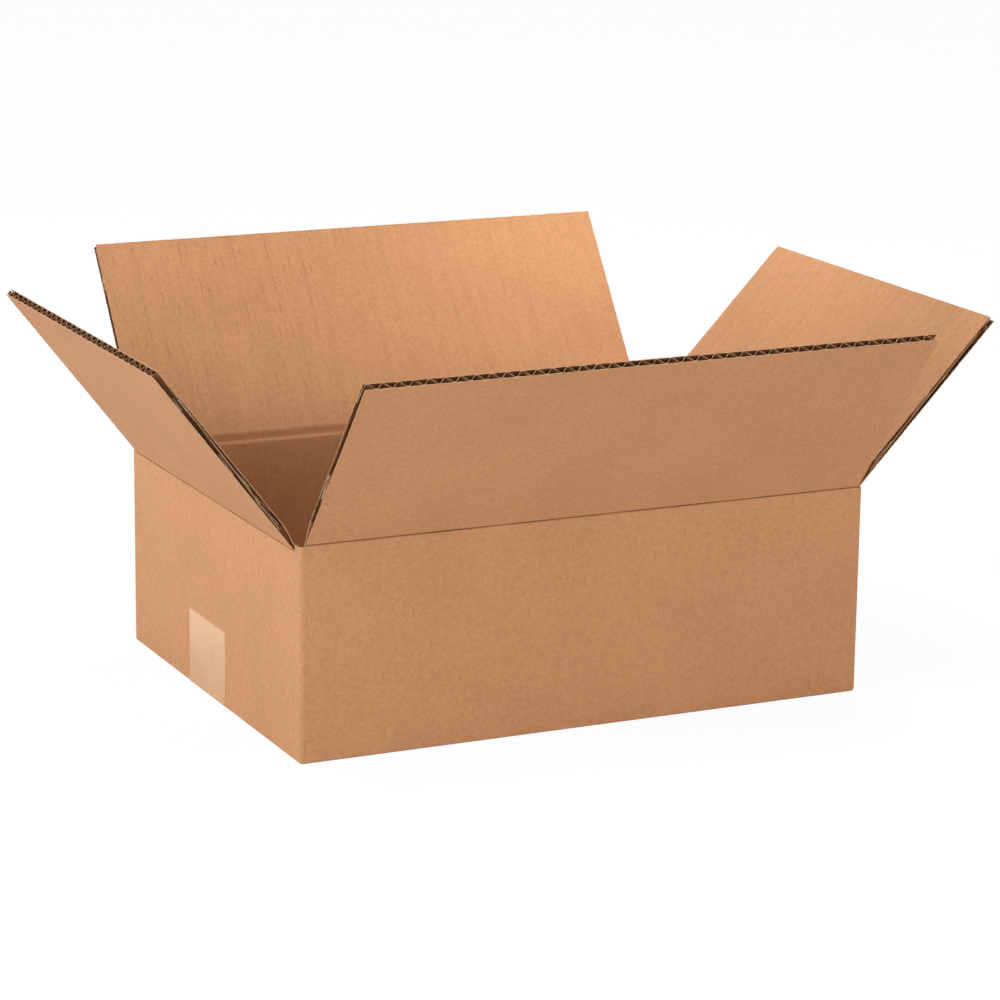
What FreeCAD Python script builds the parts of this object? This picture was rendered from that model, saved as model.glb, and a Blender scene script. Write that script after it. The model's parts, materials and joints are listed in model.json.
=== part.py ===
import FreeCAD, Part
import math
import os

# Corrugated shipping box, folded up from one blank and standing open.
# Millimetres, +Z up, X along the length, Y along the width, front at -Y.
# The origin is the centre of the underside, on the surface that the box stands on.

# Outside of the walls
LENGTH = 313.0
WIDTH = 237.0
CREASE_HEIGHT = 110.4      # top fold of the two long walls
CORNER_RADIUS = 2.5        # upright folds between the walls
BOTTOM_RADIUS = 1.5        # folds along the bottom edges

# Corrugated board: two liners with a wavy medium between them
BOARD = 4.0
LINER = 0.4
MEDIUM = 0.35
FLUTE_PITCH = 7.8
FLUTE_CREST = 1.3          # stretch of the medium that is glued to a liner
CRUSH_BAND = 4.0           # flutes are pressed flat for this much past a fold's board

# Flaps: the long pair covers the end pair when the box is shut
SEAM_GAP = 6.0             # between the tips of the long flaps, shut
LONG_FLAP_INSET = 3.0      # sides of the long flaps, in from the end walls' outside
END_FLAP_INSET = 7.0       # sides of the end flaps, in from the long walls' outside
JOINT_TRIM = 6.5           # the rear flap is this much shorter beside the glued joint
FRONT_LEAN = 38.2          # degrees outwards from upright, as the box stands
BACK_LEAN = 35.5           # degrees
LEFT_LEAN = 38.0           # degrees
RIGHT_LEAN = 43.8          # degrees

# Clearances
FOLD_GAP = 0.15            # each side of a fold, and between boards folded flat
SIDE_GAP = 0.4             # beside a flap that sits between two walls

# Tab that glues the two ends of the blank together, inside the rear wall
TAB_WIDTH = 35.0
TAB_THICKNESS = 2.0
TAB_TAPER = 9.0            # how much shorter the tab is at its free edge, each end
TAB_MARGIN = 2.0           # from the tab's ends to the flaps that fold beside them

# Tape along the bottom seam, turned up both end walls
TAPE_WIDTH = 50.8
TAPE_THICKNESS = 0.15
TAPE_RISE = 41.3           # up each end wall, to the tips of the torn teeth
TAPE_OFFSET = 7.8          # centre line, to the rear of the seam
TOOTH_PITCH = 3.2
TOOTH_HEIGHT = 1.8

# Derived sizes
FLAP_LENGTH = (WIDTH - SEAM_GAP) / 2
END_CREASE_HEIGHT = CREASE_HEIGHT - BOARD - FOLD_GAP
LONG_FLAP_WIDTH = LENGTH - 2 * LONG_FLAP_INSET
END_FLAP_WIDTH = WIDTH - 2 * END_FLAP_INSET
BOTTOM_FLAP_WIDTH = LENGTH - 2 * (BOARD + SIDE_GAP)
CRUSH_END = BOARD + CRUSH_BAND
OVERCUT = 1.0              # how far a cutting solid reaches past what it cuts

ORIGIN = FreeCAD.Vector(0, 0, 0)
X_AXIS = FreeCAD.Vector(1, 0, 0)
Z_AXIS = FreeCAD.Vector(0, 0, 1)

# Turns about Z that carry a piece from the front wall to each of the others
FRONT, RIGHT, BACK, LEFT = 0, 90, 180, 270


def polygon(points):
    """Closed wire through a list of (x, y, z) points."""
    corners = [FreeCAD.Vector(*point) for point in points]
    return Part.makePolygon(corners + corners[:1])


def prism_along_x(profile, length):
    """Solid with a (y, z) profile, centred on x = 0."""
    wire = polygon([(-length / 2, y, z) for y, z in profile])
    return Part.Face(wire).extrude(X_AXIS * length)


def block(size_x, size_y, low_z, high_z):
    """Upright box centred on the Z axis."""
    corner = FreeCAD.Vector(-size_x / 2, -size_y / 2, low_z)
    return Part.makeBox(size_x, size_y, high_z - low_z, corner)


def place(shape, lean, reach, height, turn):
    """Lean a piece outwards about its fold, set it on a wall and turn it about Z."""
    placed = shape.copy()
    placed.rotate(ORIGIN, X_AXIS, lean)
    placed.translate(FreeCAD.Vector(0, -reach, height))
    placed.rotate(ORIGIN, Z_AXIS, turn)
    return placed


def fluted_board(width, low_z, high_z):
    """Board with upright flutes: outer face at y = 0, inner face at y = BOARD.

    Each flute leaves two hollows, one against each liner. The hollows at the two
    sides are cut open, as a knife leaves them.
    """
    count = max(2, round(width / FLUTE_PITCH))
    pitch = width / count
    slope = math.atan2(BOARD - 2 * LINER - MEDIUM, pitch / 2 - FLUTE_CREST)
    leg = MEDIUM / math.sin(slope)
    narrow = FLUTE_CREST / 2
    wide = pitch / 2 - narrow - leg
    inner_floor, inner_roof = LINER + MEDIUM, BOARD - LINER
    outer_floor, outer_roof = LINER, BOARD - LINER - MEDIUM
    left, right = -width / 2, width / 2

    outline = [
        (left, 0), (right, 0), (right, outer_floor), (right - wide, outer_floor),
        (right - narrow, outer_roof), (right, outer_roof), (right, BOARD), (left, BOARD),
        (left, outer_roof), (left + narrow, outer_roof), (left + wide, outer_floor), (left, outer_floor),
    ]
    wires = [polygon([(x, y, low_z) for x, y in outline])]
    for index in range(1, count):
        middle = left + index * pitch
        hollow = [
            (middle - wide, outer_floor), (middle + wide, outer_floor),
            (middle + narrow, outer_roof), (middle - narrow, outer_roof),
        ]
        wires.append(polygon([(x, y, low_z) for x, y in hollow]))
    for index in range(count):
        middle = left + (index + 0.5) * pitch
        hollow = [
            (middle - narrow, inner_floor), (middle + narrow, inner_floor),
            (middle + wide, inner_roof), (middle - wide, inner_roof),
        ]
        wires.append(polygon([(x, y, low_z) for x, y in hollow]))
    section = Part.makeFace(wires, "Part::FaceMakerBullseye")
    return section.extrude(Z_AXIS * (high_z - low_z))


def top_flap(width):
    """Upright flap, folding about the X axis, which lies in its outer face.

    Its foot is mitred, so that it can fold inwards until it lies flat.
    """
    foot = prism_along_x(
        [(0, FOLD_GAP), (0, CRUSH_END), (BOARD, CRUSH_END), (BOARD, BOARD + FOLD_GAP)], width)
    flap = foot.fuse(fluted_board(width, CRUSH_END, FLAP_LENGTH))
    return flap.removeSplitter()


def bottom_flap(width):
    """Flap that is folded shut: it starts at the inside of its wall."""
    root = prism_along_x([(0, BOARD), (0, CRUSH_END), (BOARD, CRUSH_END), (BOARD, BOARD)], width)
    return root.fuse(fluted_board(width, CRUSH_END, FLAP_LENGTH))


def mitre_cut(width):
    """Solid that bevels the top of a wall to match a flap's foot."""
    low = -FOLD_GAP - BOARD - OVERCUT
    return prism_along_x(
        [(-OVERCUT, OVERCUT - FOLD_GAP), (BOARD + OVERCUT, low), (BOARD + OVERCUT, OVERCUT)], width)


def walls():
    """Four walls with round folds between them, bevelled under the top flaps."""
    outside = block(LENGTH, WIDTH, 0, END_CREASE_HEIGHT)
    upright = [edge for edge in outside.Edges if edge.BoundBox.ZLength > OVERCUT]
    outside = outside.makeFillet(CORNER_RADIUS, upright)
    bottom = [edge for edge in outside.Edges if edge.BoundBox.ZMax < 1e-6]
    outside = outside.makeFillet(BOTTOM_RADIUS, bottom)

    inside = block(LENGTH - 2 * BOARD, WIDTH - 2 * BOARD, -OVERCUT, END_CREASE_HEIGHT + OVERCUT)
    ridges = block(LONG_FLAP_WIDTH, WIDTH, END_CREASE_HEIGHT, CREASE_HEIGHT)
    between = block(LENGTH, WIDTH - 2 * BOARD, END_CREASE_HEIGHT, CREASE_HEIGHT + OVERCUT)
    shell = outside.cut(inside).fuse(ridges.cut(between))

    long_cut = mitre_cut(LONG_FLAP_WIDTH)
    end_cut = mitre_cut(END_FLAP_WIDTH + 2 * SIDE_GAP)
    cuts = []
    for turn in (FRONT, BACK):
        cuts.append(place(long_cut, 0, WIDTH / 2, CREASE_HEIGHT, turn))
    for turn in (RIGHT, LEFT):
        cuts.append(place(end_cut, 0, LENGTH / 2, END_CREASE_HEIGHT, turn))
    return shell.cut(Part.makeCompound(cuts))


def glue_tab():
    """Tab from the right wall, glued to the inside of the rear wall."""
    low = 2 * BOARD + TAB_MARGIN
    high = END_CREASE_HEIGHT - BOARD - TAB_MARGIN
    root = LENGTH / 2 - BOARD
    free = root - TAB_WIDTH
    face_y = WIDTH / 2 - BOARD
    outline = polygon([
        (root, face_y, low), (root, face_y, high),
        (free, face_y, high - TAB_TAPER), (free, face_y, low + TAB_TAPER),
    ])
    return Part.Face(outline).extrude(FreeCAD.Vector(0, -TAB_THICKNESS, 0))


def bottom_tape():
    """Strip of tape, let into the underside and turned up both end walls."""
    def strip(half_length, low_z, high_z, radius):
        solid = block(2 * half_length, TAPE_WIDTH, low_z, high_z)
        folds = [
            edge for edge in solid.Edges
            if edge.BoundBox.ZMax < low_z + 1e-6 and edge.BoundBox.XLength < 1e-6
        ]
        return solid.makeFillet(radius, folds)

    outer = strip(LENGTH / 2 + TAPE_THICKNESS, 0, TAPE_RISE, BOTTOM_RADIUS + TAPE_THICKNESS)
    inner = strip(LENGTH / 2, TAPE_THICKNESS, TAPE_RISE + OVERCUT, BOTTOM_RADIUS)

    count = max(2, round(TAPE_WIDTH / TOOTH_PITCH))
    pitch = TAPE_WIDTH / count
    root_z = TAPE_RISE - TOOTH_HEIGHT
    torn = [(-TAPE_WIDTH / 2, root_z)]
    for index in range(count):
        middle = -TAPE_WIDTH / 2 + (index + 0.5) * pitch
        torn.append((middle, TAPE_RISE))
        torn.append((middle + pitch / 2, root_z))
    torn.append((TAPE_WIDTH / 2, TAPE_RISE + OVERCUT))
    torn.append((-TAPE_WIDTH / 2, TAPE_RISE + OVERCUT))
    comb = prism_along_x(torn, LENGTH + 2 * (TAPE_THICKNESS + OVERCUT))

    tape = outer.cut(inner).cut(comb)
    tape.translate(FreeCAD.Vector(0, TAPE_OFFSET, 0))
    return tape


def box_body(tape):
    """Walls, folded bottom flaps and glue tab, all of one sheet."""
    pieces = [glue_tab()]
    long_flap = bottom_flap(BOTTOM_FLAP_WIDTH)
    for turn in (FRONT, BACK):
        pieces.append(place(long_flap, 90, -WIDTH / 2, 0, turn))
    end_flap = bottom_flap(END_FLAP_WIDTH)
    for turn in (RIGHT, LEFT):
        pieces.append(place(end_flap, 90, -LENGTH / 2, BOARD, turn))
    return walls().fuse(pieces).cut(tape).removeSplitter()


def main():
    tape = bottom_tape()
    long_flap = top_flap(LONG_FLAP_WIDTH)
    rear_flap = top_flap(LONG_FLAP_WIDTH - JOINT_TRIM)
    rear_flap.translate(X_AXIS * JOINT_TRIM / 2)
    end_flap = top_flap(END_FLAP_WIDTH)
    nodes = {
        "box_body": box_body(tape),
        "bottom_tape": tape,
        "flap_front": place(long_flap, FRONT_LEAN, WIDTH / 2, CREASE_HEIGHT, FRONT),
        "flap_back": place(rear_flap, BACK_LEAN, WIDTH / 2, CREASE_HEIGHT, BACK),
        "flap_left": place(end_flap, LEFT_LEAN, LENGTH / 2, END_CREASE_HEIGHT, LEFT),
        "flap_right": place(end_flap, RIGHT_LEAN, LENGTH / 2, END_CREASE_HEIGHT, RIGHT),
    }
    os.makedirs("parts", exist_ok=True)
    for name, shape in nodes.items():
        shape.exportStep(f"parts/{name}.step")
        print(name, "solids", len(shape.Solids), "faces", len(shape.Faces),
              "valid", shape.isValid(), "volume", round(shape.Volume, 1))


main()
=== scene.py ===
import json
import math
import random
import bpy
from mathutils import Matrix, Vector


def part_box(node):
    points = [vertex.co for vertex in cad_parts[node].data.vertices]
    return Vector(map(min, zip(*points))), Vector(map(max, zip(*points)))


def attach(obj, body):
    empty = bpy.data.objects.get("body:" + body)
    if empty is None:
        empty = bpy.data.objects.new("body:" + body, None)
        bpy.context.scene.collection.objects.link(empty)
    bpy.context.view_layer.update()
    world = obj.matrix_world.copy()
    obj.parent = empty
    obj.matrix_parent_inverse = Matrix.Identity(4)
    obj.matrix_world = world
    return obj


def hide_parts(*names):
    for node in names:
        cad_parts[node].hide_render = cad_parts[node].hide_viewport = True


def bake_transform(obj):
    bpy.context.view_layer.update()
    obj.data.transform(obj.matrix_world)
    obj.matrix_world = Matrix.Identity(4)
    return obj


bl_info = {
    "name": "Open Cardboard Box",
    "version": (1, 0, 0),
    "blender": (4, 5, 0),
    "location": "3D View > Sidebar > Box",
    "description": "Dresses an open corrugated box: walls, flaps, creases, tape and studio",
    "category": "Object",
}

import bmesh
import bpy
from bpy.props import FloatProperty, FloatVectorProperty, IntProperty, PointerProperty
from mathutils import Matrix, Vector

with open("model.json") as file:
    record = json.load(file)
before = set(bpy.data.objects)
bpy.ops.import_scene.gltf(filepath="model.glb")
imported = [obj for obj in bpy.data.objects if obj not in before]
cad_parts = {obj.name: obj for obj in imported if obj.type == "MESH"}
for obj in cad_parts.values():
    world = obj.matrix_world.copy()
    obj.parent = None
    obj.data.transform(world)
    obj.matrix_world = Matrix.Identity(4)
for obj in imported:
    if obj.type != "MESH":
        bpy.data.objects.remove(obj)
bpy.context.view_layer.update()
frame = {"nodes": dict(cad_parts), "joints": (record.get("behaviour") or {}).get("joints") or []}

MM = 0.001
# How near two points have to be to count as one, in metres
TINY = 1e-6

# Sizes read from the frame, in metres
BODY_LOW, BODY_HIGH = (Vector(corner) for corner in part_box("box_body"))
LENGTH = BODY_HIGH.x - BODY_LOW.x
WIDTH = BODY_HIGH.y - BODY_LOW.y
HINGES = {joint["child"]: joint for joint in frame["joints"]}

# Quarter turns about Z that carry a piece from the front wall to each of the others
TURNS = {"front": 0.0, "right": math.pi / 2, "back": math.pi, "left": -math.pi / 2}


def wall_reach(side):
    """Distance from the box's centre to the outside of a wall."""
    return WIDTH / 2 if side in ("front", "back") else LENGTH / 2


def hinge_height(side):
    return HINGES[side]["pos_m"][2]


def lean_angle(side):
    """How far a flap leans outwards at rest: its closed stop is 90 degrees past upright."""
    return math.radians(-HINGES[side]["range_deg"][0] - 90)


def flap_ends(side):
    """Where a flap starts and stops along its crease, from left to right as seen from outside."""
    upright = Matrix.Rotation(-TURNS[side], 4, "Z")
    return sorted((upright @ Vector(corner)).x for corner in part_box(f"flap_{side}"))


class BoxBoardSettings(bpy.types.PropertyGroup):
    """Sizes of the corrugated board and of the folded sheet."""

    board: FloatProperty(
        name="Board", description="Thickness of the corrugated board",
        default=4.0 * MM, unit="LENGTH")
    liner: FloatProperty(
        name="Liner", description="Thickness of each flat liner",
        default=0.36 * MM, unit="LENGTH")
    medium: FloatProperty(
        name="Medium", description="Thickness of the wavy sheet between the liners",
        default=0.26 * MM, unit="LENGTH")
    pitch: FloatProperty(
        name="Flute pitch", description="Distance from one flute to the next",
        default=7.8 * MM, unit="LENGTH")
    wave_steps: IntProperty(
        name="Wave steps", description="Straight steps in one flute of the medium", default=14)
    seam_gap: FloatProperty(
        name="Seam gap", description="Gap between the tips of the long flaps when shut",
        default=6.0 * MM, unit="LENGTH")
    side_gap: FloatProperty(
        name="Side gap", description="Gap beside a bottom flap that sits between two walls",
        default=0.4 * MM, unit="LENGTH")
    corner_radius: FloatProperty(
        name="Corner radius", description="Outside radius of the upright folds",
        default=2.5 * MM, unit="LENGTH")
    bottom_radius: FloatProperty(
        name="Bottom radius", description="Outside radius of the folds along the bottom",
        default=1.5 * MM, unit="LENGTH")
    lift: FloatProperty(
        name="Lift", description="Board's height over the tape that it stands on",
        default=0.15 * MM, unit="LENGTH")
    fray: FloatProperty(
        name="Fray", description="How far a cut edge of paper wanders",
        default=0.16 * MM, unit="LENGTH")
    slivers: IntProperty(
        name="Slivers", description="Torn bits of paper along each side edge of a top flap", default=12)
    post_height: FloatProperty(
        name="Post height", description="Top of the corner posts that stand between the slots",
        default=109.6 * MM, unit="LENGTH")


class BoxCreaseSettings(bpy.types.PropertyGroup):
    """Shape of the pressed creases that the flaps fold along."""

    wall_reach: FloatProperty(
        name="Wall reach", description="How far the crease's strip runs down the wall",
        default=10.0 * MM, unit="LENGTH")
    flap_reach: FloatProperty(
        name="Flap reach", description="How far the crease's strip runs up the flap",
        default=14.0 * MM, unit="LENGTH")
    groove: FloatProperty(
        name="Groove", description="Depth of the fine outer fold line",
        default=0.75 * MM, unit="LENGTH")
    wander: FloatProperty(
        name="Wander", description="How far the fold line strays from straight",
        default=0.12 * MM, unit="LENGTH")
    crush: FloatProperty(
        name="Crush", description="How much thinner the crease is at its two ends",
        default=1.1 * MM, unit="LENGTH")
    core_gap: FloatProperty(
        name="Core gap", description="How far the crushed core lies in from the liners' ends",
        default=1.5 * MM, unit="LENGTH")
    bend: FloatProperty(
        name="Bend", description="Half length over which the crease bends",
        default=1.2 * MM, unit="LENGTH")


class BoxFinishSettings(bpy.types.PropertyGroup):
    """Colours of board and tape."""

    kraft_light: FloatVectorProperty(
        name="Kraft, light", description="Light tone of the outer liner",
        default=(0.49, 0.236, 0.108), subtype="COLOR", size=3)
    kraft_dark: FloatVectorProperty(
        name="Kraft, dark", description="Dark tone of the outer liner",
        default=(0.41, 0.194, 0.084), subtype="COLOR", size=3)
    cut_paper: FloatVectorProperty(
        name="Cut paper", description="Fuzzy cut edges of the paper",
        default=(0.52, 0.30, 0.17), subtype="COLOR", size=3)
    # Painted shade: the medium is coloured far darker than its paper, to stand for the shade in the
    # flute hollows
    fluting_shade: FloatVectorProperty(
        name="Fluting", description="The wavy medium",
        default=(0.20, 0.078, 0.030), subtype="COLOR", size=3)
    tape: FloatVectorProperty(
        name="Tape", description="Tan film of the tape",
        default=(0.62, 0.365, 0.195), subtype="COLOR", size=3)


class BoxStageSettings(bpy.types.PropertyGroup):
    """Camera and light of the studio."""

    camera_place: FloatVectorProperty(
        name="Camera place", description="Where the camera stands",
        default=(-0.7941, -1.6783, 0.5587), subtype="TRANSLATION", size=3)
    camera_yaw: FloatProperty(
        name="Camera yaw", description="Turn of the view to the right of +Y",
        default=math.radians(25.485), unit="ROTATION")
    camera_pitch: FloatProperty(
        name="Camera pitch", description="Tilt of the view below level",
        default=math.radians(14.148), unit="ROTATION")
    camera_roll: FloatProperty(
        name="Camera roll", description="Roll of the view",
        default=math.radians(0.724), unit="ROTATION")
    camera_lens: FloatProperty(
        name="Camera lens", description="Focal length in millimetres on a 36 mm wide sensor",
        default=130.77)
    sky: FloatProperty(
        name="Sky", description="Strength of the even light at the horizon, which fades upwards",
        default=4.3)
    sky_top: FloatProperty(
        name="Sky top", description="Sine of the height at which the sky's light has faded out",
        default=0.5)
    top: FloatProperty(
        name="Top light", description="Power of the soft light overhead, in watts", default=20.5)
    key: FloatProperty(
        name="Key light", description="Power of the soft light from the left, in watts", default=18.0)
    accent: FloatProperty(
        name="Accent light", description="Power of the narrow light on the rear flap, in watts",
        default=11.5)
    accent_cone: FloatProperty(
        name="Accent cone", description="Full angle of the narrow light",
        default=math.radians(34), unit="ROTATION")
    floor_white: FloatProperty(
        name="Floor white", description="How white the floor looks: 1 hides all shadow", default=0.88)


def board_settings():
    return bpy.context.scene.box_board


def crease_settings():
    return bpy.context.scene.box_crease


def finish_settings():
    return bpy.context.scene.box_finish


def stage_settings():
    return bpy.context.scene.box_stage


def flap_length():
    return (WIDTH - board_settings().seam_gap) / 2


# Modelling helpers


def deselect_all():
    if bpy.context.mode != "OBJECT":
        bpy.ops.object.mode_set(mode="OBJECT")
    bpy.ops.object.select_all(action="DESELECT")


def activate(piece):
    deselect_all()
    piece.select_set(True)
    bpy.context.view_layer.objects.active = piece


def apply_place(piece):
    activate(piece)
    bpy.ops.object.transform_apply(location=True, rotation=True, scale=True)


def add_block(name, low, high):
    """Block between two corners, with its place in its mesh."""
    deselect_all()
    low, high = Vector(low), Vector(high)
    bpy.ops.mesh.primitive_cube_add(size=1, location=(low + high) / 2)
    piece = bpy.context.active_object
    piece.name = piece.data.name = name
    piece.scale = high - low
    apply_place(piece)
    return piece


def choose(piece, kind, test):
    """In edit mode, select only the points, edges or faces whose middle passes a test."""
    kinds = ("VERT", "EDGE", "FACE")
    bpy.context.tool_settings.mesh_select_mode = [kind == each for each in kinds]
    mesh = bmesh.from_edit_mesh(piece.data)
    for part in (*mesh.faces, *mesh.edges, *mesh.verts):
        part.select = False
    for part in {"VERT": mesh.verts, "EDGE": mesh.edges, "FACE": mesh.faces}[kind]:
        points = [part.co] if kind == "VERT" else [corner.co for corner in part.verts]
        if test(*points):
            part.select_set(True)
    bmesh.update_edit_mesh(piece.data)


def edit(piece):
    activate(piece)
    bpy.ops.object.mode_set(mode="EDIT")


def finish_edit(piece, smooth_angle=None):
    """Close edit mode with all faces pointing outwards."""
    bpy.ops.mesh.select_all(action="SELECT")
    bpy.ops.mesh.normals_make_consistent(inside=False)
    bpy.ops.object.mode_set(mode="OBJECT")
    if smooth_angle is not None:
        bpy.ops.object.shade_smooth_by_angle(angle=smooth_angle)


def apply_modifier(piece, kind, **values):
    activate(piece)
    modifier = piece.modifiers.new(kind.title(), kind)
    for key, value in values.items():
        setattr(modifier, key, value)
    bpy.ops.object.modifier_apply(modifier=modifier.name)


def carve(piece, cutters):
    """Cut blocks out of a piece, and throw the blocks away."""
    for cutter in cutters:
        apply_modifier(piece, "BOOLEAN", operation="DIFFERENCE", object=cutter, solver="EXACT")
        bpy.data.objects.remove(cutter)


def join(pieces, name):
    activate(pieces[0])
    for piece in pieces[1:]:
        piece.select_set(True)
    bpy.ops.object.join()
    joined = bpy.context.active_object
    joined.name = joined.data.name = name
    return joined


def place(piece, lean, reach, height, turn):
    """Lean a piece outwards about its fold, set it on a wall and turn it about Z."""
    piece.matrix_world = (
        Matrix.Rotation(turn, 4, "Z")
        @ Matrix.Translation((0, -reach, height))
        @ Matrix.Rotation(lean, 4, "X")
    )
    apply_place(piece)
    return piece


def lay_board_map(piece, across):
    """Write the sheet's own flat map in metres: along the crease, and along the flutes."""
    layer = piece.data.uv_layers.get("sheet") or piece.data.uv_layers.new(name="sheet")
    vertices = piece.data.vertices
    for loop in piece.data.loops:
        layer.data[loop.index].uv = across(vertices[loop.vertex_index].co)
    return piece


def paint(piece, finish, test=None):
    """Give a finish to all faces, or to the ones that pass a test."""
    if finish.name not in piece.data.materials:
        piece.data.materials.append(finish)
    index = piece.data.materials.find(finish.name)
    for face in piece.data.polygons:
        if test is None or test(face):
            face.material_index = index


# Corrugated board, modelled upright: crease along X, outer face at y = 0, flutes along Z


def liner_sheet(name, ends, low, high, outer, seed):
    """One flat liner with slightly frayed cut edges."""
    settings = board_settings()
    step = 4 * MM
    left, right = ends
    width, middle = right - left, (left + right) / 2
    deselect_all()
    bpy.ops.mesh.primitive_grid_add(
        x_subdivisions=max(2, round(width / step)), y_subdivisions=max(2, round((high - low) / step)),
        size=1, rotation=(math.pi / 2, 0, 0),
        location=(middle, 0 if outer else settings.board, (low + high) / 2))
    piece = bpy.context.active_object
    piece.name = name
    piece.scale = (width, high - low, 1)
    apply_place(piece)

    def on_border(point):
        return abs(point.x - middle) > width / 2 - TINY or point.z > high - TINY

    edit(piece)
    choose(piece, "FACE", lambda *points: any(map(on_border, points)))
    bpy.ops.mesh.subdivide(number_cuts=4)
    choose(piece, "VERT", lambda point: on_border(point) and point.z > low + TINY)
    bpy.ops.transform.vertex_random(offset=settings.fray, seed=seed)
    bpy.ops.object.mode_set(mode="OBJECT")
    apply_modifier(piece, "SOLIDIFY", thickness=settings.liner, offset=-1 if outer else 1)
    return piece


def medium_sheet(name, ends, low, high, skew, phase, seed):
    """The wavy sheet between the liners, cut off square at its tip and sides."""
    settings = board_settings()
    left, right = ends
    width = right - left
    count = round(width / settings.pitch)
    pitch = width / count
    step = pitch / settings.wave_steps
    swing = (settings.board - 2 * settings.liner - settings.medium) / 2
    spare = 2
    first = left + (phase - spare) * pitch
    tall = high - low + 2 * spare * pitch

    def wave(index):
        return swing * math.cos(2 * math.pi * index / settings.wave_steps)

    deselect_all()
    bpy.ops.mesh.primitive_plane_add(
        size=1, rotation=(math.pi / 2, 0, 0),
        location=(first + step / 2, settings.board / 2, (low + high) / 2))
    piece = bpy.context.active_object
    piece.name = name
    piece.scale = (step, tall, 1)
    apply_place(piece)

    edit(piece)
    for index in (0, 1):
        level = first + index * step
        choose(piece, "VERT", lambda point: abs(point.x - level) < step / 4)
        bpy.ops.transform.translate(value=(0, wave(index), 0))
    choose(piece, "EDGE", lambda a, b: min(a.x, b.x) > first + step / 2)
    for index in range(1, settings.wave_steps):
        rise = wave(index + 1) - wave(index)
        bpy.ops.mesh.extrude_region_move(TRANSFORM_OT_translate={"value": (step, rise, 0)})
    bpy.ops.object.mode_set(mode="OBJECT")
    apply_modifier(
        piece, "ARRAY", count=count + 2 * spare, use_relative_offset=False, use_constant_offset=True,
        constant_offset_displace=(pitch, 0, 0), use_merge_vertices=True, merge_threshold=step / 20)
    apply_modifier(piece, "SOLIDIFY", thickness=settings.medium, offset=0)

    middle = Vector(((left + right) / 2, 0, (low + high) / 2))
    piece.matrix_world = (
        Matrix.Translation(middle) @ Matrix.Rotation(skew, 4, "Y") @ Matrix.Translation(-middle))
    apply_place(piece)
    edit(piece)
    tuck = settings.fray * 2
    cuts = (
        ((left + tuck, 0, 0), (-1, 0, 0)), ((right - tuck, 0, 0), (1, 0, 0)),
        ((0, 0, low), (0, 0, -1)), ((0, 0, high), (0, 0, 1)),
    )
    for point, normal in cuts:
        bpy.ops.mesh.select_all(action="SELECT")
        bpy.ops.mesh.bisect(plane_co=point, plane_no=normal, use_fill=True, clear_outer=True)
    choose(piece, "VERT", lambda point: point.z > high - TINY)
    bpy.ops.transform.vertex_random(offset=settings.fray / 2, seed=seed)
    bpy.ops.object.mode_set(mode="OBJECT")
    return piece


# Ranges of the torn slivers: length as a share of the model's, depth from the side edge in
# millimetres, and the turns either way in radians
SLIVER_LENGTHS = (0.3, 1.6)
SLIVER_DEPTHS = (0.35, 0.9)
SLIVER_TILT = 0.09
SLIVER_TWIST = 0.6


def torn_slivers(name, ends, low, high, seed):
    """Ragged bits of torn paper inside the two side edges, as a blunt knife leaves them."""
    settings = board_settings()
    draw = random.Random(seed)
    thick, deep, tall, ragged = 0.22 * MM, 0.8 * MM, 10 * MM, 0.2 * MM
    corner = Vector((deep, thick, tall)) / 2
    model = add_block(f"{name}_sliver", -corner, corner)
    edit(model)
    choose(model, "EDGE", lambda a, b: abs(a.z - b.z) > tall / 2)
    bpy.ops.mesh.subdivide(number_cuts=9)
    bpy.ops.mesh.select_all(action="SELECT")
    bpy.ops.transform.vertex_random(offset=ragged, seed=seed)
    bpy.ops.object.mode_set(mode="OBJECT")
    pieces = []
    for end, inwards in ((ends[0], 1), (ends[1], -1)):
        for _ in range(settings.slivers):
            piece = model.copy()
            piece.data = model.data.copy()
            bpy.context.collection.objects.link(piece)
            length = draw.uniform(*SLIVER_LENGTHS)
            half = length * tall / 2
            spot = Vector((
                end + inwards * draw.uniform(*SLIVER_DEPTHS) * MM,
                draw.uniform(settings.liner * 2, settings.board - settings.liner * 2),
                draw.uniform(low + half, high - half)))
            tilt = Matrix.Rotation(draw.uniform(-SLIVER_TILT, SLIVER_TILT), 4, "X")
            twist = Matrix.Rotation(draw.uniform(-SLIVER_TWIST, SLIVER_TWIST), 4, "Z")
            piece.matrix_world = (
                Matrix.Translation(spot) @ tilt @ twist @ Matrix.Diagonal((1, 1, length, 1)))
            # One sliver in three gets the medium's dark colour, which is painted shade
            paint(piece, board_finishes()[draw.choice(("cut", "cut", "fluting_shade"))])
            apply_place(piece)
            pieces.append(piece)
    bpy.data.objects.remove(model)
    return pieces


def corrugated_board(name, ends, low, high, skew, phase, seed, inside="inside", torn=False):
    """Two liners and a medium, joined, with their finishes and their flat map."""
    finishes = board_finishes()
    parts = []
    for outer in (True, False):
        sheet = liner_sheet(f"{name}_liner_{int(outer)}", ends, low, high, outer, seed + outer)
        paint(sheet, finishes["outside"] if outer else finishes[inside])
        # The liner's face towards the hollow gets the medium's dark colour: painted shade of the hollow
        hollow_side = 1 if outer else -1
        paint(sheet, finishes["fluting_shade"], lambda face: face.normal.y * hollow_side > 0.5)
        paint(sheet, finishes["cut"], lambda face: abs(face.normal.y) < 0.5)
        parts.append(sheet)
    medium = medium_sheet(f"{name}_medium", ends, low, high, skew, phase, seed + 2)
    # The medium's dark colour is painted shade of the hollows; its cut edges get the light cut paper
    paint(medium, finishes["fluting_shade"])
    paint(medium, finishes["cut"], lambda face: abs(face.normal.z) > 0.9 or abs(face.normal.x) > 0.999)
    parts.append(medium)
    if torn:
        parts += torn_slivers(name, ends, low, high, seed)
    board = join(parts, name)
    return lay_board_map(board, lambda point: (point.x, point.z))


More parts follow.
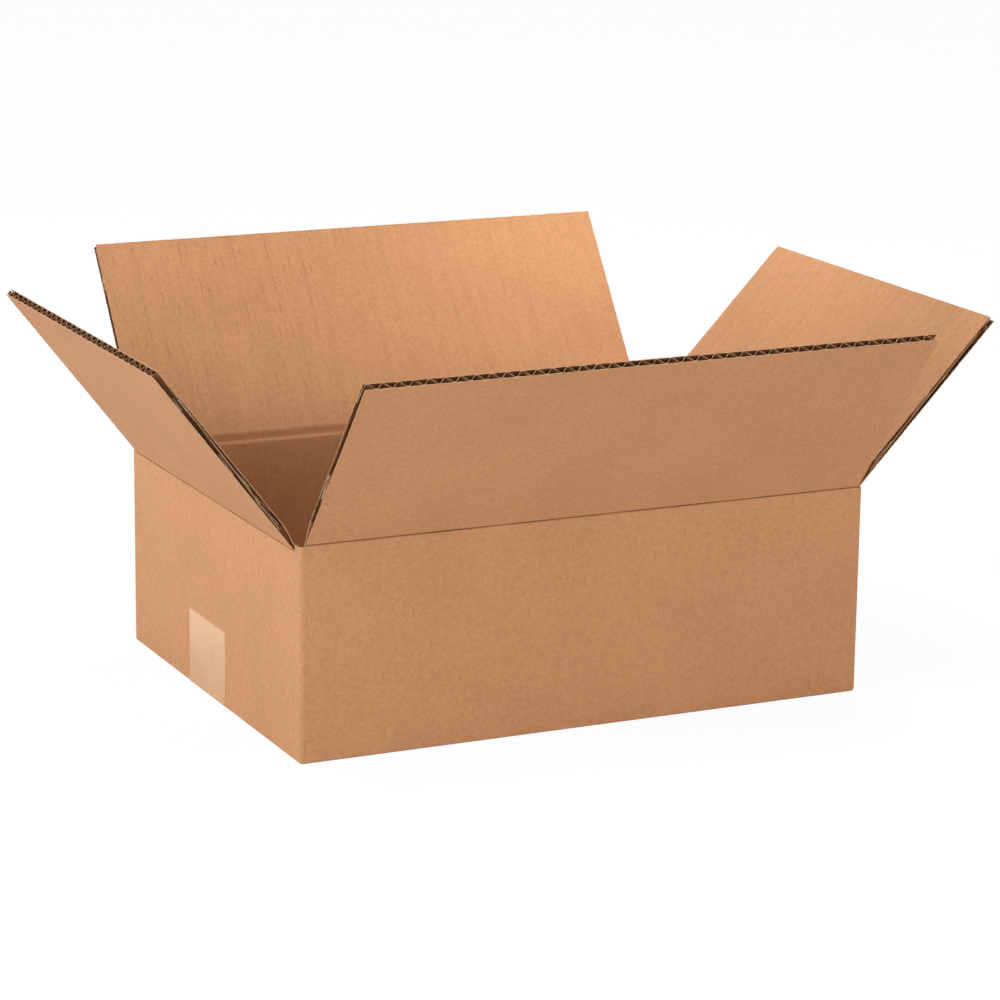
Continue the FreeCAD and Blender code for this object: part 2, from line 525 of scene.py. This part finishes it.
class BOX_OT_walls(bpy.types.Operator):
    """Make the ring of four walls with its round folds"""

    bl_idname = "box.walls"
    bl_label = "Walls"

    def execute(self, context):
        settings, crease = board_settings(), crease_settings()
        half_x, half_y = LENGTH / 2, WIDTH / 2
        post, end_top = settings.post_height, hinge_height("left")
        spare, slack, recess = 1 * MM, 0.1 * MM, 0.8 * MM
        ring = add_block("wall_ring", (-half_x, -half_y, settings.lift), (half_x, half_y, post))
        edit(ring)
        choose(ring, "EDGE", lambda a, b: abs(a.z - b.z) > post / 2)
        bpy.ops.mesh.bevel(offset=settings.corner_radius, segments=6, affect="EDGES")
        floor = settings.lift + TINY
        choose(ring, "EDGE", lambda a, b: max(a.z, b.z) < floor)
        bpy.ops.mesh.bevel(offset=settings.bottom_radius, segments=4, affect="EDGES")
        finish_edit(ring)

        inside = Vector((half_x - settings.board, half_y - settings.board, 0))
        long_half = flap_ends("front")[1] + slack
        cutters = [
            add_block("cut_inside", (-inside.x, -inside.y, -spare), (inside.x, inside.y, post + spare)),
            add_block(
                "cut_ledge", (-long_half, -half_y - spare, end_top),
                (long_half, half_y + spare, post + spare)),
        ]
        for side, turn in TURNS.items():
            left, right = flap_ends(side)
            low = hinge_height(side) - crease.wall_reach
            notch = add_block(
                f"cut_{side}", (left, -spare, low), (right, settings.board + spare, post + spare))
            cutters.append(place(notch, 0, wall_reach(side), 0, turn))
        carve(ring, cutters)

        edit(ring)
        choose(ring, "FACE", lambda *points: min(point.z for point in points) > end_top - slack)
        bpy.ops.mesh.inset(thickness=settings.liner, depth=0)
        bpy.ops.mesh.extrude_region_move(TRANSFORM_OT_translate={"value": (0, 0, -recess)})
        bpy.ops.object.mode_set(mode="OBJECT")
        bpy.ops.object.shade_smooth_by_angle(angle=math.radians(30))

        finishes = board_finishes()
        paint(ring, finishes["outside"])

        def faces_inside(face):
            centre, normal = face.center, face.normal
            return centre.x * normal.x + centre.y * normal.y < 0 and abs(normal.z) < 0.5

        paint(ring, finishes["inside"], faces_inside)
        paint(ring, finishes["cut"], lambda face: face.normal.z > 0.5)
        # The recessed core along the walls' top edges gets the medium's dark colour: painted shade of
        # the hollow board
        cores = (end_top - recess, post - recess)
        paint(ring, finishes["fluting_shade"], lambda face: any(
            face.normal.z > 0.5 and abs(face.center.z - level) < slack for level in cores))

        def around(point):
            near_end = half_x - abs(point.x) < half_y - abs(point.y)
            return (point.y if near_end else point.x, point.z)

        lay_board_map(ring, around)
        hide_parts("box_body")
        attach(ring, "box")
        return {"FINISHED"}


class BOX_OT_bottom_flaps(bpy.types.Operator):
    """Make the four flaps that are folded shut under the box"""

    bl_idname = "box.bottom_flaps"
    bl_label = "Bottom flaps"

    def execute(self, context):
        settings = board_settings()
        for number, (side, turn) in enumerate(TURNS.items()):
            is_long = side in ("front", "back")
            half = LENGTH / 2 - settings.board - settings.side_gap if is_long else flap_ends("right")[1]
            height = settings.lift if is_long else settings.lift + settings.board
            board = corrugated_board(
                f"bottom_flap_{side}", (-half, half), settings.board, flap_length(),
                math.radians(0.3), 0.3, 40 + 3 * number)
            place(board, math.pi / 2, -wall_reach(side), height, turn)
            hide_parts("box_body")
            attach(board, "box")
        return {"FINISHED"}


class BOX_OT_glue_tab(bpy.types.Operator):
    """Make the tab that is glued to the inside of the rear wall"""

    bl_idname = "box.glue_tab"
    bl_label = "Glue tab"

    def execute(self, context):
        settings = board_settings()
        thick, wide, taper, margin, round_off = 2.0 * MM, 35.0 * MM, 9.0 * MM, 2.0 * MM, 0.7 * MM
        face_y = WIDTH / 2 - settings.board
        root = LENGTH / 2 - settings.board
        low = settings.lift + 2 * settings.board + margin
        high = hinge_height("right") - settings.board - margin
        tab = add_block("glue_tab", (root - wide, face_y - thick, low), (root, face_y, high))
        edit(tab)
        for level, move in ((low, taper), (high, -taper)):
            choose(tab, "VERT", lambda point: point.x < root - wide / 2 and abs(point.z - level) < MM)
            bpy.ops.transform.translate(value=(0, 0, move))
        choose(tab, "EDGE", lambda a, b: max(a.y, b.y) < face_y - thick / 2)
        bpy.ops.mesh.bevel(offset=round_off, segments=3, affect="EDGES")
        finish_edit(tab, math.radians(40))
        paint(tab, board_finishes()["inside"])
        lay_board_map(tab, lambda point: (point.x, point.z))
        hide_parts("box_body")
        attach(tab, "box")
        return {"FINISHED"}


class BOX_OT_top_flaps(bpy.types.Operator):
    """Make the four open top flaps with their flutes showing at the cut edges"""

    bl_idname = "box.top_flaps"
    bl_label = "Top flaps"

    def execute(self, context):
        skews = {"front": 0.5, "back": -0.4, "left": 1.3, "right": -0.8}
        phases = {"front": 0.2, "back": 0.4, "left": 0.75, "right": 0.3}
        for number, (side, turn) in enumerate(TURNS.items()):
            board = corrugated_board(
                f"top_flap_{side}", flap_ends(side), crease_settings().flap_reach, flap_length(),
                math.radians(skews[side]), phases[side], 3 * number,
                inside="inside_worn" if side == "back" else "inside", torn=True)
            place(board, lean_angle(side), wall_reach(side), hinge_height(side), turn)
            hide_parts(f"flap_{side}")
            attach(board, side)
        return {"FINISHED"}


# Section of a crease, in millimetres. Depth is from the board's outer face, and the distance
# along the sheet is counted from the fold line, negative on the wall.
# The outer face's rows run up the wall, over the fold and on up the flap.
OUTER_DEPTHS = ((10, 0), (6, 0), (3, -0.05), (1.2, -0.12), (0.45, 0))
FOLD_ROW = len(OUTER_DEPTHS)
FLAP_DEPTHS = ((11, 3.9), (8, 3.65), (5.5, 3.3), (3.5, 3.0), (1.8, 2.75), (0.4, 2.55))
# From the fold down the inside of the wall: a pressed band with a small step at its foot
WALL_DEPTHS = (
    (1.1, 2.35), (0.35, 2.75), (-0.7, 2.95), (-2.4, 2.95), (-3.9, 2.92), (-4.5, 3.2), (-5.2, 3.85),
    (-6.2, 4.0), (-8, 4.0))
# How much of the crush each stretch gets, from the fold outwards
CRUSH_SHARES = ((0, 3, 1.0), (3, 4.2, 0.95), (4.2, 7, 0.8), (7, 9.5, 0.5), (9.5, 12, 0.25))
# The core starts inside each liner, at this share of the liner's thickness
CORE_SHARE = 0.8
# Points nearer the outer face than this aren't crushed
OUTER_SKIN = 1.5 * MM


def crease_faces(lean):
    """Outer and inner faces of a bent board: lists of (y, z, distance along the sheet)."""
    settings, crease = board_settings(), crease_settings()

    def on_wall(along, depth):
        return (depth, along, along)

    def on_flap(along, depth):
        return (
            depth * math.cos(lean) - along * math.sin(lean),
            depth * math.sin(lean) + along * math.cos(lean), along)

    def scaled(rows, sign=1):
        return [(sign * along * MM, depth * MM) for along, depth in rows]

    reach_down, reach_up = crease.wall_reach, crease.flap_reach
    fold = (crease.groove * math.cos(lean / 2), crease.groove * math.sin(lean / 2), 0)
    outer = [on_wall(-reach_down, 0)] + [on_wall(*row) for row in scaled(OUTER_DEPTHS[1:], -1)]
    outer += [fold] + [on_flap(*row) for row in scaled(reversed(OUTER_DEPTHS))] + [on_flap(reach_up, 0)]
    inner = [on_flap(reach_up, settings.board)] + [on_flap(*row) for row in scaled(FLAP_DEPTHS)]
    inner += [on_wall(*row) for row in scaled(WALL_DEPTHS)] + [on_wall(-reach_down, settings.board)]
    return outer, inner


def sheet_through(name, ends, section, closed=False):
    """Sheet whose section runs through (y, z) points, drawn out along X."""
    left, right = ends
    deselect_all()
    bpy.ops.mesh.primitive_plane_add(
        size=1, rotation=(math.pi / 2, 0, 0), location=((left + right) / 2, 0, 0))
    piece = bpy.context.active_object
    piece.name = name
    piece.scale = (right - left, 1, 1)
    apply_place(piece)
    edit(piece)
    for (y, z), level in zip(section, (-0.5, 0.5)):
        choose(piece, "VERT", lambda point: abs(point.z - level) < 0.01 and abs(point.y) < TINY)
        bpy.ops.transform.translate(value=(0, y, z - level))
    y, z = section[1]

    def at_second(a, b):
        return abs(a.x - b.x) > 0 and max(abs(a.y - y), abs(a.z - z)) < TINY

    choose(piece, "EDGE", at_second)
    for start, stop in zip(section[1:], section[2:]):
        move = (0, stop[0] - start[0], stop[1] - start[1])
        bpy.ops.mesh.extrude_region_move(TRANSFORM_OT_translate={"value": move})
    if closed:
        bpy.ops.mesh.select_all(action="SELECT")
        bpy.ops.mesh.remove_doubles(threshold=TINY)
        for end in ends:
            choose(piece, "EDGE", lambda a, b: max(abs(a.x - end), abs(b.x - end)) < TINY)
            bpy.ops.mesh.fill()
    choose(piece, "EDGE", lambda a, b: abs(a.x - b.x) > (right - left) / 2)
    bpy.ops.mesh.subdivide(number_cuts=round((right - left) / (3 * MM)))
    return piece


class BOX_OT_creases(bpy.types.Operator):
    """Make the four pressed creases, bent to their flaps' lean at rest"""

    bl_idname = "box.creases"
    bl_label = "Creases"

    def execute(self, context):
        for number, (side, turn) in enumerate(TURNS.items()):
            lean = lean_angle(side)
            strip = self.strip(side, lean, 70 + 5 * number)
            place(strip, 0, wall_reach(side), hinge_height(side), turn)
            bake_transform(strip)
        return {"FINISHED"}

    def strip(self, side, lean, seed):
        settings, crease, finishes = board_settings(), crease_settings(), board_finishes()
        ends = flap_ends(side)
        outer, inner = crease_faces(lean)
        fold = Vector(outer[FOLD_ROW][:2])
        skin = settings.liner * CORE_SHARE

        def sunk(rows, move):
            return [(y + move * math.cos(lean / 2), z + move * math.sin(lean / 2)) for y, z, _ in rows]

        outside = sheet_through(f"crease_{side}_outside", ends, [row[:2] for row in outer])
        choose(outside, "VERT", lambda point: (Vector((point.y, point.z)) - fold).length < 10 * TINY)
        bpy.ops.transform.vertex_random(offset=crease.wander, seed=seed)
        inside = sheet_through(f"crease_{side}_inside", ends, [row[:2] for row in inner])
        core_ends = (ends[0] + crease.core_gap, ends[1] - crease.core_gap)
        loop = sunk(outer, skin) + sunk(inner, -skin)
        core = sheet_through(f"crease_{side}_core", core_ends, loop + loop[:1], closed=True)
        bpy.ops.mesh.select_all(action="SELECT")
        bpy.ops.mesh.normals_make_consistent(inside=False)
        for piece in (outside, inside, core):
            self.crush_ends(piece, ends, lean)
            if piece is not core:
                choose(piece, "VERT", lambda point: min(abs(point.x - end) for end in ends) < TINY)
                bpy.ops.transform.vertex_random(offset=settings.fray / 2, seed=seed + 1)
            bpy.ops.object.mode_set(mode="OBJECT")
        for piece in (outside, inside):
            apply_modifier(piece, "SOLIDIFY", thickness=settings.liner, offset=-1)
        paint(outside, finishes["outside"])
        paint(inside, finishes["inside"])
        for piece in (outside, inside):
            paint(piece, finishes["cut"], lambda face: abs(face.normal.x) > 0.8)
            activate(piece)
            bpy.ops.object.shade_smooth_by_angle(angle=math.radians(35))
        # The crushed core between the liners gets the medium's dark colour: painted shade
        paint(core, finishes["fluting_shade"])
        strip = join([outside, inside, core], f"crease_{side}")
        rows = outer + inner

        def flat(point):
            nearest = min(rows, key=lambda row: (row[0] - point.y) ** 2 + (row[1] - point.z) ** 2)
            return (point.x, nearest[2])

        return lay_board_map(strip, flat)

    def crush_ends(self, piece, ends, lean):
        """Press the inner face towards the outer one at both ends."""
        crease = crease_settings()
        up = Vector((-math.sin(lean / 2), math.cos(lean / 2)))
        edit(piece)
        for on_flap in (False, True):
            inwards = Vector((math.cos(lean), math.sin(lean))) if on_flap else Vector((1, 0))
            along_way = Vector((-inwards.y, inwards.x))
            for low, high, share in CRUSH_SHARES:

                def pressed(point):
                    spot = Vector((point.y, point.z))
                    if min(abs(point.x - end) for end in ends) > crease.core_gap + TINY:
                        return False
                    if (spot.dot(up) > 0) != on_flap or spot.dot(inwards) < OUTER_SKIN:
                        return False
                    return low * MM <= abs(spot.dot(along_way)) < high * MM

                choose(piece, "VERT", pressed)
                move = -inwards * crease.crush * share
                bpy.ops.transform.translate(value=(0, move.x, move.y))


class BOX_OT_tape(bpy.types.Operator):
    """Give the tape along the bottom seam its finish"""

    bl_idname = "box.tape"
    bl_label = "Tape"

    def execute(self, context):
        tape = frame["nodes"]["bottom_tape"]
        tape.data.materials.clear()
        tape.data.materials.append(tape_finish())
        return {"FINISHED"}


# Finishes

# Tint of specks and cracks and of the painted shade along the fold line, and the tape's darker tone
# towards its foot
MARK_AND_SHADE_TINT = (0.30, 0.18, 0.10, 1)
TAPE_DARK = (0.47, 0.25, 0.12, 1)


class Wiring:
    """Short names for adding and linking the nodes of one material."""

    def __init__(self, name):
        self.material = bpy.data.materials.new(name)
        self.material.use_nodes = True
        self.tree = self.material.node_tree
        self.shader = self.tree.nodes["Principled BSDF"]

    def add(self, kind, inputs=None, **values):
        node = self.tree.nodes.new(kind)
        for key, value in values.items():
            setattr(node, key, value)
        for key, value in (inputs or {}).items():
            if isinstance(value, bpy.types.NodeSocket):
                self.tree.links.new(value, node.inputs[key])
            else:
                node.inputs[key].default_value = value
        return node

    def math(self, operation, *values):
        return self.add("ShaderNodeMath", dict(enumerate(values)), operation=operation).outputs[0]

    def noise(self, vector, scale, detail=2.0, roughness=0.5):
        inputs = {"Vector": vector, "Scale": scale, "Detail": detail, "Roughness": roughness}
        return self.add("ShaderNodeTexNoise", inputs).outputs["Fac"]

    def spread(self, value, low, high, to_low, to_high):
        inputs = {"Value": value, "From Min": low, "From Max": high, "To Min": to_low, "To Max": to_high}
        return self.add("ShaderNodeMapRange", inputs).outputs["Result"]

    def mix_colours(self, share, first, second, **values):
        """Colour between two others. A Mix node's colours are sockets 6 and 7, and its result 2."""
        inputs = {0: share, 6: first, 7: second}
        node = self.add("ShaderNodeMix", inputs, data_type="RGBA", clamp_factor=True, **values)
        return node.outputs[2]

    def stretch(self, vector, scale):
        return self.add("ShaderNodeMapping", {"Vector": vector, "Scale": scale}).outputs["Vector"]

    def set(self, **values):
        for key, value in values.items():
            socket = self.shader.inputs[key.replace("_", " ")]
            if isinstance(value, bpy.types.NodeSocket):
                self.tree.links.new(value, socket)
            else:
                socket.default_value = value
        return self.material


def kraft_finish(name, dark, light, washboard_shade_weight=0.3, ridges=0.35, cracks=0.0, fold=0.0, gloss=0.25):
    """Kraft paper: clouds, fibres, specks, washboard stripes of painted shade along the flutes and
    bumped flute ridges, with cracks, or a painted shade along the fold line, where asked.
    """
    pitch = board_settings().pitch
    wires = Wiring(name)
    place_in_object = wires.add("ShaderNodeTexCoord").outputs["Object"]
    sheet = wires.add("ShaderNodeUVMap", uv_map="sheet").outputs["UV"]
    split = wires.add("ShaderNodeSeparateXYZ", {"Vector": sheet})
    across, along = split.outputs["X"], split.outputs["Y"]

    clouds = wires.noise(place_in_object, 22, 3, 0.55)
    mottle = wires.noise(place_in_object, 400, 5, 0.7)
    fibres = wires.noise(wires.stretch(place_in_object, (1, 1, 0.55)), 1300, 3, 0.7)
    # Painted shade: stripes along the flutes in the colour stand for the washboard shading of the flute
    # ridges, strongest on the insides
    washboard_shade = wires.noise(wires.stretch(sheet, (1 / pitch, 7, 1)), 1.6, 3, 0.6)

    tone = 0.5
    for value, weight in ((clouds, 1.2), (mottle, 3.2), (fibres, 3.2), (washboard_shade, washboard_shade_weight)):
        centred = wires.math("SUBTRACT", value, 0.5)
        tone = wires.math("MULTIPLY_ADD", centred, weight, tone)
    colour = wires.mix_colours(tone, (*dark, 1), (*light, 1))

    specks = wires.noise(place_in_object, 800, 1, 0.4)
    shade = wires.spread(specks, 0.70, 0.76, 0.0, 0.18)
    ridge_phase = wires.math("MULTIPLY", across, 1 / pitch)
    if cracks:
        shade = wires.math("MAXIMUM", shade, crack_lines(wires, sheet, across, along, cracks))
    # Painted shade along the fold line: darker where the sheet's second map coordinate is within 0.6 mm
    # of zero, broken up by noise; on the walls this darkens the outside just above the floor
    if fold:
        stray = wires.math("ABSOLUTE", along)
        line = wires.spread(stray, 0.2 * MM, 0.6 * MM, fold, 0.0)
        fold_shade_patches = wires.spread(wires.noise(wires.stretch(sheet, (30, 0, 1)), 1, 2), 0.35, 0.6, 0.5, 1.0)
        shade = wires.math("MAXIMUM", shade, wires.math("MULTIPLY", line, fold_shade_patches))
    darker = wires.mix_colours(shade, colour, MARK_AND_SHADE_TINT, blend_type="MULTIPLY")

    ridge = wires.math("SINE", wires.math("MULTIPLY", ridge_phase, 2 * math.pi))
    relief = wires.math("MULTIPLY_ADD", ridge, ridges, wires.math("MULTIPLY", fibres, 1.2))
    relief = wires.math("MULTIPLY_ADD", mottle, 0.8, relief)
    bump = wires.add("ShaderNodeBump", {"Height": relief, "Strength": 0.6, "Distance": 0.06 * MM})
    return wires.set(
        Base_Color=darker, Roughness=0.82, Specular_IOR_Level=gloss, Normal=bump.outputs[0])


def crack_lines(wires, sheet, across, along, depth):
    """Broken hairlines in the liner, one over each side of a flute, most of them at one end."""
    wobble = wires.noise(wires.stretch(sheet, (60, 60, 1)), 1.0, 1, 0.5)
    phase = wires.math("MULTIPLY", across, 2 / board_settings().pitch)
    phase = wires.math("MULTIPLY_ADD", wobble, 0.3, phase)
    column = wires.math("FLOOR", phase)
    offset = wires.math("ABSOLUTE", wires.math("SUBTRACT", wires.math("FRACT", phase), 0.5))
    line = wires.spread(offset, 0.015, 0.055, 1.0, 0.0)
    where = wires.add("ShaderNodeCombineXYZ", {
        "X": wires.math("MULTIPLY", column, 3.7), "Y": wires.math("MULTIPLY", along, 62)}).outputs[0]
    dashes = wires.spread(wires.noise(where, 1.0, 2, 0.6), 0.53, 0.62, 0.0, depth)
    where_worn = wires.spread(across, -20 * MM, 60 * MM, 0.1, 1.0)
    return wires.math("MULTIPLY", wires.math("MULTIPLY", line, dashes), where_worn)


def board_finishes():
    """The board's finishes, made once: outside, inside, worn inside, cut paper and the medium's dark
    one, whose colour is painted shade of the flute hollows.
    """
    keys = ("outside", "inside", "inside_worn", "cut", "fluting_shade")
    made = {key: bpy.data.materials.get(f"kraft_{key}") for key in keys}
    if all(made.values()):
        return made
    colours = finish_settings()
    light, dark = tuple(colours.kraft_light), tuple(colours.kraft_dark)
    cut, fluting_shade = tuple(colours.cut_paper), tuple(colours.fluting_shade)

    def scaled(colour, share):
        return tuple(part * share for part in colour)

    return {
        "outside": kraft_finish("kraft_outside", dark, light, washboard_shade_weight=0.3, ridges=0.3, fold=0.85),
        "inside": kraft_finish("kraft_inside", dark, light, washboard_shade_weight=1.8, ridges=0.6),
        "inside_worn": kraft_finish(
            "kraft_inside_worn", dark, light, washboard_shade_weight=1.8, ridges=1.0, cracks=0.7),
        "cut": kraft_finish("kraft_cut", scaled(cut, 0.75), scaled(cut, 1.1), washboard_shade_weight=0, ridges=0),
        "fluting_shade": kraft_finish(
            "kraft_fluting_shade", scaled(fluting_shade, 0.7), fluting_shade, washboard_shade_weight=0, ridges=0, gloss=0),
    }


def tape_finish():
    """Thin tan film, lighter towards its top and darker towards its foot, with faint lengthwise draw
    lines.
    """
    colour = tuple(finish_settings().tape)
    wires = Wiring("tape_film")
    spot = wires.add("ShaderNodeTexCoord").outputs["Object"]
    height = wires.add("ShaderNodeSeparateXYZ", {"Vector": spot}).outputs["Z"]
    lines = wires.noise(wires.stretch(spot, (1, 60, 1)), 9, 3, 0.6)
    clouds = wires.noise(spot, 60, 3, 0.6)
    tone = wires.spread(height, 0.0, 38 * MM, 0.0, 0.75)
    tone = wires.math("MULTIPLY_ADD", wires.math("SUBTRACT", lines, 0.5), 0.5, tone)
    tone = wires.math("MULTIPLY_ADD", wires.math("SUBTRACT", clouds, 0.5), 0.6, tone)
    film = wires.mix_colours(tone, TAPE_DARK, (*colour, 1))
    bump = wires.add("ShaderNodeBump", {"Height": lines, "Strength": 0.4, "Distance": 0.03 * MM})
    return wires.set(
        Base_Color=film, Roughness=0.38, Specular_IOR_Level=0.45, Normal=bump.outputs[0])


# Stage

# Where each light stands and the point it is aimed at, in metres
TOP_LIGHT = ((0, 0, 2.2), (0, 0, 0.1))
KEY_LIGHT = ((-1.6, -0.3, 1.3), (0, 0, 0.1))
FLAP_ACCENT = ((0.30, -0.20, 0.70), (0.135, 0.145, 0.135))
CREASE_ACCENT = ((-0.15, -0.25, 0.60), (-0.09, 0.13, 0.14))
COOL_WHITE = (0.92, 1.04, 1.16)
AREA_SIZE = 1.0
ACCENT_SIZE = 0.06
# The crease's accent light as shares of the flap's: its cone and its power
CREASE_CONE_SHARE = 0.6
CREASE_POWER_SHARE = 0.3


def aim(light, target):
    """Turn a light towards a point."""
    light.rotation_euler = (Vector(target) - light.location).to_track_quat("-Z", "Y").to_euler()
    return light


def add_area_light(name, place_at, target, power, colour=(1, 1, 1)):
    deselect_all()
    bpy.ops.object.light_add(type="AREA", location=place_at)
    light = bpy.context.active_object
    light.name = name
    light.data.shape = "SQUARE"
    light.data.size = AREA_SIZE
    light.data.energy = power
    light.data.color = colour
    return aim(light, target)


def add_accent_light(name, place_at, target, cone, power):
    deselect_all()
    bpy.ops.object.light_add(type="SPOT", location=place_at)
    light = bpy.context.active_object
    light.name = name
    light.data.spot_size = cone
    light.data.spot_blend = 1.0
    light.data.shadow_soft_size = ACCENT_SIZE
    light.data.energy = power
    return aim(light, target)


def studio_paper(whiteness):
    """White paper that stays white to the eye, with only a faint shadow near the box."""
    wires = Wiring("studio_paper")
    wires.set(Base_Color=(0.9, 0.9, 0.9, 1), Roughness=0.9)
    seen = wires.add("ShaderNodeLightPath").outputs["Is Camera Ray"]
    glow = wires.add("ShaderNodeEmission", {"Color": (1, 1, 1, 1), "Strength": 1.05}).outputs[0]
    share = wires.math("MULTIPLY", seen, whiteness)
    mix = wires.add("ShaderNodeMixShader", {0: share, 1: wires.shader.outputs[0], 2: glow})
    wires.tree.links.new(mix.outputs[0], wires.tree.nodes["Material Output"].inputs["Surface"])
    return wires.material


def studio_sky(strength, top):
    """Light from all round, strongest at the horizon."""
    world = bpy.data.worlds.new("studio_sky")
    world.use_nodes = True
    nodes, links = world.node_tree.nodes, world.node_tree.links
    split = nodes.new("ShaderNodeSeparateXYZ")
    links.new(nodes.new("ShaderNodeTexCoord").outputs["Generated"], split.inputs[0])
    fade = nodes.new("ShaderNodeMapRange")
    links.new(split.outputs["Z"], fade.inputs["Value"])
    for name, value in {"From Min": 0, "From Max": top, "To Min": strength, "To Max": 0}.items():
        fade.inputs[name].default_value = value
    background = nodes["Background"]
    background.inputs["Color"].default_value = (1, 1, 1, 1)
    links.new(fade.outputs["Result"], background.inputs["Strength"])
    return world


class BOX_OT_stage(bpy.types.Operator):
    """Set up the pale floor, the soft light and the camera"""

    bl_idname = "box.stage"
    bl_label = "Stage"

    def execute(self, context):
        settings = stage_settings()
        scene = context.scene
        deselect_all()
        bpy.ops.mesh.primitive_plane_add(size=30, location=(0, 0, 0))
        floor = bpy.context.active_object
        floor.name = "studio_floor"
        floor.data.materials.append(studio_paper(settings.floor_white))
        scene.world = studio_sky(settings.sky, settings.sky_top)
        cone, power = settings.accent_cone, settings.accent
        add_area_light("top_light", *TOP_LIGHT, settings.top)
        add_area_light("key_left", *KEY_LIGHT, settings.key, COOL_WHITE)
        add_accent_light("accent_rear_flap", *FLAP_ACCENT, cone, power)
        add_accent_light(
            "accent_rear_crease", *CREASE_ACCENT, cone * CREASE_CONE_SHARE, power * CREASE_POWER_SHARE)

        yaw, pitch, roll = settings.camera_yaw, settings.camera_pitch, settings.camera_roll
        forward = Vector((
            math.sin(yaw) * math.cos(pitch), math.cos(yaw) * math.cos(pitch), -math.sin(pitch)))
        level = Vector((math.cos(yaw), -math.sin(yaw), 0))
        upright = level.cross(forward)
        right = math.cos(roll) * level + math.sin(roll) * upright
        up = -math.sin(roll) * level + math.cos(roll) * upright
        bpy.ops.object.camera_add(location=tuple(settings.camera_place))
        camera = bpy.context.active_object
        camera.name = "photo_camera"
        axes = Matrix((right, up, -forward)).transposed()
        camera.rotation_euler = axes.to_euler()
        camera.data.sensor_width = 36
        camera.data.lens = settings.camera_lens
        camera.data.clip_start = 0.05
        scene.camera = camera
        scene.view_settings.view_transform = "Standard"
        return {"FINISHED"}


class BOX_PT_panel(bpy.types.Panel):
    """Lists the box's pieces and its sizes"""

    bl_label = "Open cardboard box"
    bl_idname = "BOX_PT_panel"
    bl_space_type = "VIEW_3D"
    bl_region_type = "UI"
    bl_category = "Box"

    def draw(self, context):
        for group in ("box_board", "box_crease", "box_finish", "box_stage"):
            settings = getattr(context.scene, group)
            column = self.layout.column(heading=group.replace("_", " ").title())
            for name in settings.__annotations__:
                column.prop(settings, name)
        for operator in OPERATORS:
            self.layout.operator(operator.bl_idname)


OPERATORS = (
    BOX_OT_walls, BOX_OT_bottom_flaps, BOX_OT_glue_tab, BOX_OT_top_flaps, BOX_OT_creases,
    BOX_OT_tape, BOX_OT_stage,
)
GROUPS = {
    "box_board": BoxBoardSettings, "box_crease": BoxCreaseSettings,
    "box_finish": BoxFinishSettings, "box_stage": BoxStageSettings,
}


def register():
    for cls in (*GROUPS.values(), *OPERATORS, BOX_PT_panel):
        bpy.utils.register_class(cls)
    for name, group in GROUPS.items():
        setattr(bpy.types.Scene, name, PointerProperty(type=group))


def unregister():
    for name in GROUPS:
        delattr(bpy.types.Scene, name)
    for cls in reversed((*GROUPS.values(), *OPERATORS, BOX_PT_panel)):
        bpy.utils.unregister_class(cls)


def main():
    register()
    bpy.ops.box.walls()
    bpy.ops.box.bottom_flaps()
    bpy.ops.box.glue_tab()
    bpy.ops.box.top_flaps()
    bpy.ops.box.creases()
    bpy.ops.box.tape()
    bpy.ops.box.stage()


if __name__ == "__main__":
    main()
